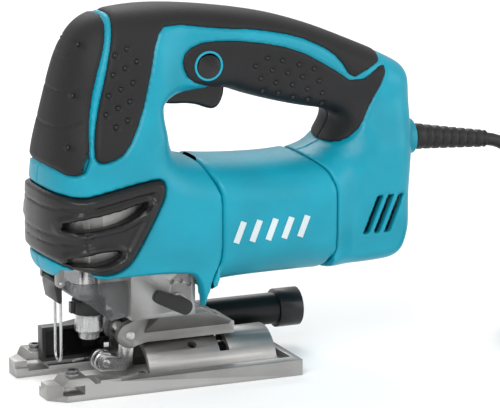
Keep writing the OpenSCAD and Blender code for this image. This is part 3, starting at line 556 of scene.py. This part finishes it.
pad_cell = fine * 0.85
nose_creases = (147, 164, 181)
nose_rule = grip_rule(nose_outline, 0.9, nose_dimples, crease_heights=nose_creases)
nose_pad = surface_net("nose_pad", nose_rule, (-72, -34, 118), (-30, 34, 212), pad_cell)
handle_pad = surface_net("handle_pad", grip_rule(side_outline_grip, 0.8, side_dimples),
                         (-52, -38, 124), (136, 38, 212), pad_cell)
palm_left = surface_net("palm_left", grip_rule(palm_outline, 0.8, palm_dimples, -1),
                        (4, -36, 112), (134, 2, 192), pad_cell)
palm_right = surface_net("palm_right", grip_rule(palm_outline, 0.8, palm_dimples, 1),
                         (4, -2, 112), (134, 36, 192), pad_cell)
bumper = surface_net("front_guard_pad", bumper_rule, (-73, -40, 60), (0, 40, 122), pad_cell)

# %% Give the moulded pieces their finishes and places
for obj, material, record_slot, stands_for in (
        (shell_left, shell_blue, "shell_plastic", "housing_left"),
        (shell_right, shell_blue, "shell_plastic", "housing_right"),
        (motor_shell, shell_blue, "shell_plastic", "motor_housing"),
        (nose_pad, grip_black, "grip_rubber", "nose_grip"),
        (handle_pad, grip_black, "grip_rubber", "handle_grip"),
        (palm_left, grip_black, "grip_rubber", "palm_grip_left"),
        (palm_right, grip_black, "grip_rubber", "palm_grip_right"),
        (bumper, hard_black, "bumper_plastic", "front_bumper")):
    obj.data.materials.append(material)
    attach(obj, "housing")
    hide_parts(stands_for)

# %% [markdown]
# The trigger is a curved bar that two fingers close on. Its underside follows the fingers,
# so a side outline with a rounded edge says all there is to say about it.

# %% Trigger
trigger_outline = soften([(2.2, 164), (2.6, 154), (6, 151.8), (22, 151.2), (31, 147.4), (35, 147),
                          (38.5, 150), (41, 157), (40, 163), (34, 167), (8, 167)], 2)


def trigger_rule(x, y, z):
    edge = outline_distance(x, z, trigger_outline)
    u = np.maximum(0, 1 + edge / 3.5)
    v = np.abs(y) / 7.2
    return ((u ** 3 + v ** 5) ** 0.25 - 1) * 3.5


trigger_bar = surface_net("trigger_bar", trigger_rule, (0, -9, 144), (43, 9, 169), 0.9)
trigger_bar.data.materials.append(gloss_black)
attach(trigger_bar, "trigger")
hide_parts("trigger")

# %% [markdown]
# The metal and small plastic pieces already have their true shapes. A real edge is never
# perfectly sharp, and a narrow bright line on it tells the eye what the piece is made of.
# So each is copied, its loose corners are joined, and a small bevel is added.

# %% Copies with soft edges
finish_of = {
    "gear_case": cast_grey, "gear_case_cover": cast_grey, "shoe_bracket": cast_grey,
    "retainer_arm": ground_steel, "roller": ground_steel, "roller_axle": ground_steel,
    "shoe": sole_steel, "release_lever": hard_black, "dust_nozzle": hard_black,
    "orbital_lever": hard_black, "trigger": gloss_black, "lock_button": gloss_black,
    "clamp_sleeve": hard_black, "switch_body": gloss_black, "cord_clamp": hard_black,
    "brush_holders": gloss_black, "cooling_fan": gloss_black, "control_board": board_green,
    "stator_core": core_grey, "armature_core": core_grey, "carbon_brushes": core_grey,
    "field_coils": copper_wire, "armature_windings": copper_wire, "commutator": copper_wire,
    "plunger_bushes": bronze, "plunger_seal": felt_grey, "dust_cover": smoke,
    "cord_gland": shell_blue, "blade_clamp": ground_steel, "plunger_rod": ground_steel,
    "fence_screws": dark_steel, "housing_screws": dark_steel, "case_screws": dark_steel,
    "guard_wire": ground_steel}
already = {"housing_left", "housing_right", "motor_housing", "nose_grip", "handle_grip",
           "palm_grip_left", "palm_grip_right", "front_bumper", "cord_run", "cord_coil",
           "cord_plug", "cord_guard", "trigger"}
body_of_node = {}
for body_name, node_names in frame["record"]["behaviour"]["bodies"].items():
    for node_name in node_names:
        body_of_node[node_name] = body_name


def soft_copy(node_name, material, width=0.25):
    source = frame["nodes"][node_name]
    mesh = source.data.copy()
    mesh.materials.clear()
    work = bmesh.new()
    work.from_mesh(mesh)
    bmesh.ops.remove_doubles(work, verts=work.verts, dist=2e-6)
    bmesh.ops.dissolve_limit(work, angle_limit=math.radians(0.5), verts=work.verts,
                             edges=work.edges)
    bmesh.ops.recalc_face_normals(work, faces=work.faces)
    work.to_mesh(mesh)
    work.free()
    obj = bpy.data.objects.new("fine_" + node_name, mesh)
    scene.collection.objects.link(obj)
    mesh.materials.append(material)
    mesh.shade_smooth()
    bevel = obj.modifiers.new("soft_edges", "BEVEL")
    bevel.width = width * MM
    bevel.segments = 2
    bevel.limit_method = "ANGLE"
    bevel.angle_limit = math.radians(28)
    bevel.harden_normals = True
    bevel.use_clamp_overlap = True
    bpy.context.view_layer.objects.active = obj
    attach(obj, body_of_node[node_name])
    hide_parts(node_name)
    return obj


def keep_inside(obj, gap=3.8):
    """The moulded shells are rounder than the engineering ones, so what fills them is pulled in."""
    co = np.empty(len(obj.data.vertices) * 3)
    obj.data.vertices.foreach_get("co", co)
    co = co.reshape(-1, 3) / MM
    x, y, z = co.T
    u = np.maximum(0, 1 + outline_distance(x, z, side_outline) / edge_reach(x, z))
    h = np.maximum(0, 1 - outline_distance(x, z, hand_outline) / hand_reach(z))
    room = np.maximum(0, 1 - u ** squareness - h ** squareness) ** (1 / squareness)
    limit = np.maximum(half_width(x, z) * room - gap, 1.0)
    high = z > 68
    y[high] = np.clip(y[high], -limit[high], limit[high])
    obj.data.vertices.foreach_set("co", (np.stack([x, y, z], axis=1) * MM).ravel())
    obj.data.update()


for node_name in sorted(frame["nodes"]):
    if node_name not in already:
        piece = soft_copy(node_name, finish_of.get(node_name, ground_steel))
        if node_name in ("gear_case", "gear_case_cover"):
            keep_inside(piece)
print("copied pieces", len(frame["nodes"]) - len(already))

# %% [markdown]
# The cord itself is a curve with a round section. The plug and the guard are turned and
# moulded pieces of their own.

# %% Cord, guard and plug
def curve_tube(name, points, width, material):
    data = bpy.data.curves.new(name, "CURVE")
    data.dimensions = "3D"
    line = data.splines.new("POLY")
    line.points.add(len(points) - 1)
    for slot_point, p in zip(line.points, points):
        slot_point.co = (p[0] * MM, p[1] * MM, p[2] * MM, 1)
    data.bevel_depth = width / 2
    data.bevel_resolution = 3
    data.use_fill_caps = True
    line.use_smooth = True
    obj = bpy.data.objects.new(name, data)
    scene.collection.objects.link(obj)
    data.materials.append(material)
    return obj


def even_route(points, step=4.0):
    """A smooth curve through the points, sampled evenly."""
    p = np.array(points, float)
    keep = [0]
    for i in range(1, len(p)):
        if np.linalg.norm(p[i] - p[keep[-1]]) > 1.5:
            keep.append(i)
    p = p[keep]
    out = []
    for i in range(len(p) - 1):
        a, b = p[max(0, i - 1)], p[i]
        c, d = p[i + 1], p[min(len(p) - 1, i + 2)]
        n = max(1, int(np.linalg.norm(c - b) / step))
        for k in range(n):
            t = k / n
            out.append(0.5 * ((2 * b) + (c - a) * t + (2 * a - 5 * b + 4 * c - d) * t * t
                              + (3 * b - a - 3 * c + d) * t ** 3))
    out.append(p[-1])
    return out


smooth_route = even_route(route)
cord = curve_tube("power_cord", smooth_route, cord_width, cord_black)


def turned(name, profile, start, direction, material, sides=48, closed=False):
    """A body of revolution: pairs of radius and distance along the axis, in mm."""
    work = bmesh.new()
    axis = Vector(direction).normalized()
    across = axis.cross(Vector((0.1, 0.3, 1))).normalized()
    other = axis.cross(across)
    rings = []
    for radius, along in profile:
        ring = []
        for k in range(sides):
            a = 2 * math.pi * k / sides
            place = Vector(start) + axis * along + (across * math.cos(a) + other * math.sin(a)) * radius
            ring.append(work.verts.new(place * MM))
        rings.append(ring)
    for a, b in zip(rings, rings[1:] + (rings[:1] if closed else [])):
        for k in range(sides):
            work.faces.new((a[k], a[(k + 1) % sides], b[(k + 1) % sides], b[k]))
    if not closed:
        work.faces.new(rings[0][::-1])
        work.faces.new(rings[-1])
    bmesh.ops.recalc_face_normals(work, faces=work.faces)
    mesh = bpy.data.meshes.new(name)
    work.to_mesh(mesh)
    work.free()
    mesh.materials.append(material)
    mesh.shade_smooth()
    obj = bpy.data.objects.new(name, mesh)
    scene.collection.objects.link(obj)
    return obj


guard_droop = math.radians(6.5)
guard_axis = (math.cos(guard_droop), 0, -math.sin(guard_droop))
guard_profile = [(4.0, 0), (6.2, 0.2), (6.3, 7.8), (7.1, 8.4), (7.3, 9.2), (7.3, 13.4), (7.0, 14.2)]
for k in range(7):
    base = 15.5 + 5.4 * k
    radius = 6.9 - 0.30 * k
    guard_profile += [(radius - 0.9, base), (radius, base + 0.7), (radius - 0.05, base + 3.6),
                      (radius - 0.9, base + 4.3)]
guard_profile += [(4.9, 54.3), (4.3, 55.0)]
guard = turned("cord_strain_guard", guard_profile, (150, 0, 121.5), guard_axis, cord_black)
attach(guard, "housing")
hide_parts("cord_guard")


def plug_rule(x, y, z):
    dy, dz = (y - plug_y) / 16.5, (z - plug_height) / 11.2
    along = (plug_x - 28 - x) / 17.2
    block = (np.abs(dy) ** 4 + np.abs(dz) ** 4 + np.abs(along) ** 6) ** 0.25 - 1
    waist = 0.10 * np.exp(-((x - (plug_x - 20)) / 6.0) ** 2)
    neck = np.maximum(np.sqrt((y - plug_y) ** 2 + (z - plug_height) ** 2) - 6.3,
                      np.maximum(plug_x - 14 - x, x - plug_x + 3))
    return np.minimum((block + waist) * 11, neck)


plug = surface_net("mains_plug", plug_rule, (plug_x - 48, plug_y - 19, plug_height - 13),
                   (plug_x + 1, plug_y + 19, plug_height + 13), 0.9)
plug.data.materials.append(hard_black)
for k, side in enumerate((-9.5, 9.5)):
    pin = turned("plug_pin_%d" % k, [(2.4, 0), (2.4, 18.4), (2.1, 19.4), (1.4, 20.0)],
                 (plug_x - 44, plug_y + side, plug_height), (-1, 0, 0), ground_steel, 24)
    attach(pin, "housing")
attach(plug, "housing")
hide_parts("cord_plug")
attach(cord, "housing")
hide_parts("cord_run", "cord_coil")

# %% [markdown]
# The printed panel on the motor housing is replaced by plain slanted bars. They repeat,
# so a Geometry Nodes tree makes them: a line of points, one bar shape on each, all made
# real and given their finish at the end.

# %% Slanted bars by Geometry Nodes
def repeat_tree(name, material):
    """A line of copies of a rounded bar: count, step, start and bar size are inputs."""
    tree = bpy.data.node_groups.new(name, "GeometryNodeTree")
    face = tree.interface
    face.new_socket("Geometry", in_out="OUTPUT", socket_type="NodeSocketGeometry")
    wanted = [("Count", "NodeSocketInt"), ("Start", "NodeSocketVector"), ("Step", "NodeSocketVector"),
              ("Bar size", "NodeSocketVector"), ("Lean", "NodeSocketVector")]
    for label, kind in wanted:
        face.new_socket(label, in_out="INPUT", socket_type=kind)
    enter = tree.nodes.new("NodeGroupInput")
    leave = tree.nodes.new("NodeGroupOutput")
    line = tree.nodes.new("GeometryNodeMeshLine")
    block = tree.nodes.new("GeometryNodeMeshCube")
    copies = tree.nodes.new("GeometryNodeInstanceOnPoints")
    real = tree.nodes.new("GeometryNodeRealizeInstances")
    paint = tree.nodes.new("GeometryNodeSetMaterial")
    paint.inputs["Material"].default_value = material
    link = tree.links.new
    link(enter.outputs["Count"], line.inputs["Count"])
    link(enter.outputs["Start"], line.inputs["Start Location"])
    link(enter.outputs["Step"], line.inputs["Offset"])
    link(enter.outputs["Bar size"], block.inputs["Size"])
    link(line.outputs["Mesh"], copies.inputs["Points"])
    link(block.outputs["Mesh"], copies.inputs["Instance"])
    link(enter.outputs["Lean"], copies.inputs["Rotation"])
    link(copies.outputs["Instances"], real.inputs["Geometry"])
    link(real.outputs["Geometry"], paint.inputs["Geometry"])
    link(paint.outputs["Geometry"], leave.inputs["Geometry"])
    return tree


def grown(name, tree, body, record_slot, bevel=0.0, points=(), **values):
    """Runs a tree once and keeps the result as a plain mesh."""
    seed = bpy.data.meshes.new(name + "_holder")
    seed.from_pydata(list(points), [], [])
    holder = bpy.data.objects.new(name + "_holder", seed)
    scene.collection.objects.link(holder)
    modifier = holder.modifiers.new("grow", "NODES")
    modifier.node_group = tree
    for item in tree.interface.items_tree:
        if item.in_out == "INPUT" and item.name in values:
            modifier[item.identifier] = values[item.name]
    ready = holder.evaluated_get(bpy.context.evaluated_depsgraph_get())
    mesh = bpy.data.meshes.new_from_object(ready)
    bpy.data.objects.remove(holder)
    obj = bpy.data.objects.new(name, mesh)
    scene.collection.objects.link(obj)
    if bevel:
        edge = obj.modifiers.new("soft_edges", "BEVEL")
        edge.width = bevel
        edge.segments = 2
    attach(obj, body)
    print(name, len(mesh.polygons), "faces")
    return obj


grown("label_bars", repeat_tree("slanted_bars", bar_grey), "housing", "shell_plastic", 0.0002,
      **{"Count": 5, "Start": (0.036, -0.0383, 0.0845), "Step": (0.0095, 0, 0),
         "Bar size": (0.0036, 0.0006, 0.0125), "Lean": (0.0, math.radians(22), 0.0)})

# %% [markdown]
# Small nubs stand on the grips in slanted rows. They are all the same, so a tree puts one
# flattened ball on each point of a small mesh, squashed along the tool's width.

# %% Grip nubs and the button's ring
def surface_y(px, pz, grow):
    """How far out the body's side lies at a point of the side view."""
    low, high = 0.0, 45.0
    for _ in range(30):
        middle = (low + high) / 2
        value = float(np.ravel(body_rule(np.array(px), np.array(middle), np.array(pz)))[0])
        low, high = (middle, high) if value < grow else (low, middle)
    return low


def nub_tree(material):
    tree = bpy.data.node_groups.new("nubs_on_points", "GeometryNodeTree")
    tree.interface.new_socket("Geometry", in_out="OUTPUT", socket_type="NodeSocketGeometry")
    tree.interface.new_socket("Geometry", in_out="INPUT", socket_type="NodeSocketGeometry")
    tree.interface.new_socket("Nub radius", in_out="INPUT", socket_type="NodeSocketFloat")
    tree.interface.new_socket("Nub scale", in_out="INPUT", socket_type="NodeSocketVector")
    enter, leave = tree.nodes.new("NodeGroupInput"), tree.nodes.new("NodeGroupOutput")
    ball = tree.nodes.new("GeometryNodeMeshUVSphere")
    ball.inputs["Segments"].default_value = 16
    ball.inputs["Rings"].default_value = 10
    copies = tree.nodes.new("GeometryNodeInstanceOnPoints")
    real = tree.nodes.new("GeometryNodeRealizeInstances")
    smooth = tree.nodes.new("GeometryNodeSetShadeSmooth")
    paint = tree.nodes.new("GeometryNodeSetMaterial")
    paint.inputs["Material"].default_value = material
    link = tree.links.new
    link(enter.outputs["Geometry"], copies.inputs["Points"])
    link(enter.outputs["Nub radius"], ball.inputs["Radius"])
    link(enter.outputs["Nub scale"], copies.inputs["Scale"])
    link(ball.outputs["Mesh"], copies.inputs["Instance"])
    link(copies.outputs["Instances"], real.inputs["Geometry"])
    link(real.outputs["Geometry"], smooth.inputs["Geometry"])
    link(smooth.outputs["Geometry"], paint.inputs["Geometry"])
    link(paint.outputs["Geometry"], leave.inputs["Geometry"])
    return tree


nub_places = []
for px, pz in side_dimples + palm_dimples + nose_dimples:
    out = surface_y(px, pz, -0.2)
    nub_places += [(px * MM, -out * MM, pz * MM), (px * MM, out * MM, pz * MM)]
grown("grip_nubs", nub_tree(gloss_black), "housing", "grip_rubber", points=nub_places,
      **{"Nub radius": 0.0013, "Nub scale": (1.0, 0.8, 1.0)})

ring_y = surface_y(*button_place, 0.3)
ring = turned("button_ring", [(8.3, 0.2), (8.3, 1.6), (8.0, 1.95), (7.2, 1.95), (6.95, 1.6), (6.95, 0.2)],
              (button_place[0], 1.2 - ring_y, button_place[1]), (0, -1, 0), shell_blue, 64, closed=True)
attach(ring, "housing")

# %% [markdown]
# ## Floor and light
# A pale floor and large soft lamps show plastic well: broad reflections roll round the
# corners and the shadow under the sole stays soft.

# %% Floor and lights
floor_mesh = bpy.data.meshes.new("floor")
floor_mesh.from_pydata([(-6, -6, 0), (6, -6, 0), (6, 6, 0), (-6, 6, 0)], [], [(0, 1, 2, 3)])
floor = bpy.data.objects.new("floor", floor_mesh)
floor.location.z = -0.0002
scene.collection.objects.link(floor)
floor_paint = bpy.data.materials.new("floor_paint")
floor_paint.use_nodes = True
floor_paint.node_tree.nodes["Principled BSDF"].inputs["Base Color"].default_value = (0.93, 0.93, 0.93, 1)
floor_paint.node_tree.nodes["Principled BSDF"].inputs["Roughness"].default_value = 0.7
floor_mesh.materials.append(floor_paint)

world = bpy.data.worlds.new("studio")
world.use_nodes = True
world.node_tree.nodes["Background"].inputs["Color"].default_value = (1, 1, 1, 1)
world.node_tree.nodes["Background"].inputs["Strength"].default_value = 0.75
scene.world = world


def lamp(name, place, size, power):
    data = bpy.data.lights.new(name, "AREA")
    data.size = size
    data.energy = power
    obj = bpy.data.objects.new(name, data)
    obj.location = place
    obj.rotation_euler = (Vector(place) - Vector((0.05, 0, 0.1))).to_track_quat("Z", "Y").to_euler()
    scene.collection.objects.link(obj)
    return obj


lamp("key_lamp", (-0.7, -0.9, 1.1), 0.8, 14)
lamp("fill_lamp", (1.1, -0.9, 0.6), 0.9, 6)
lamp("back_lamp", (0.2, 1.0, 1.0), 0.8, 8)
scene.view_settings.view_transform = "Standard"
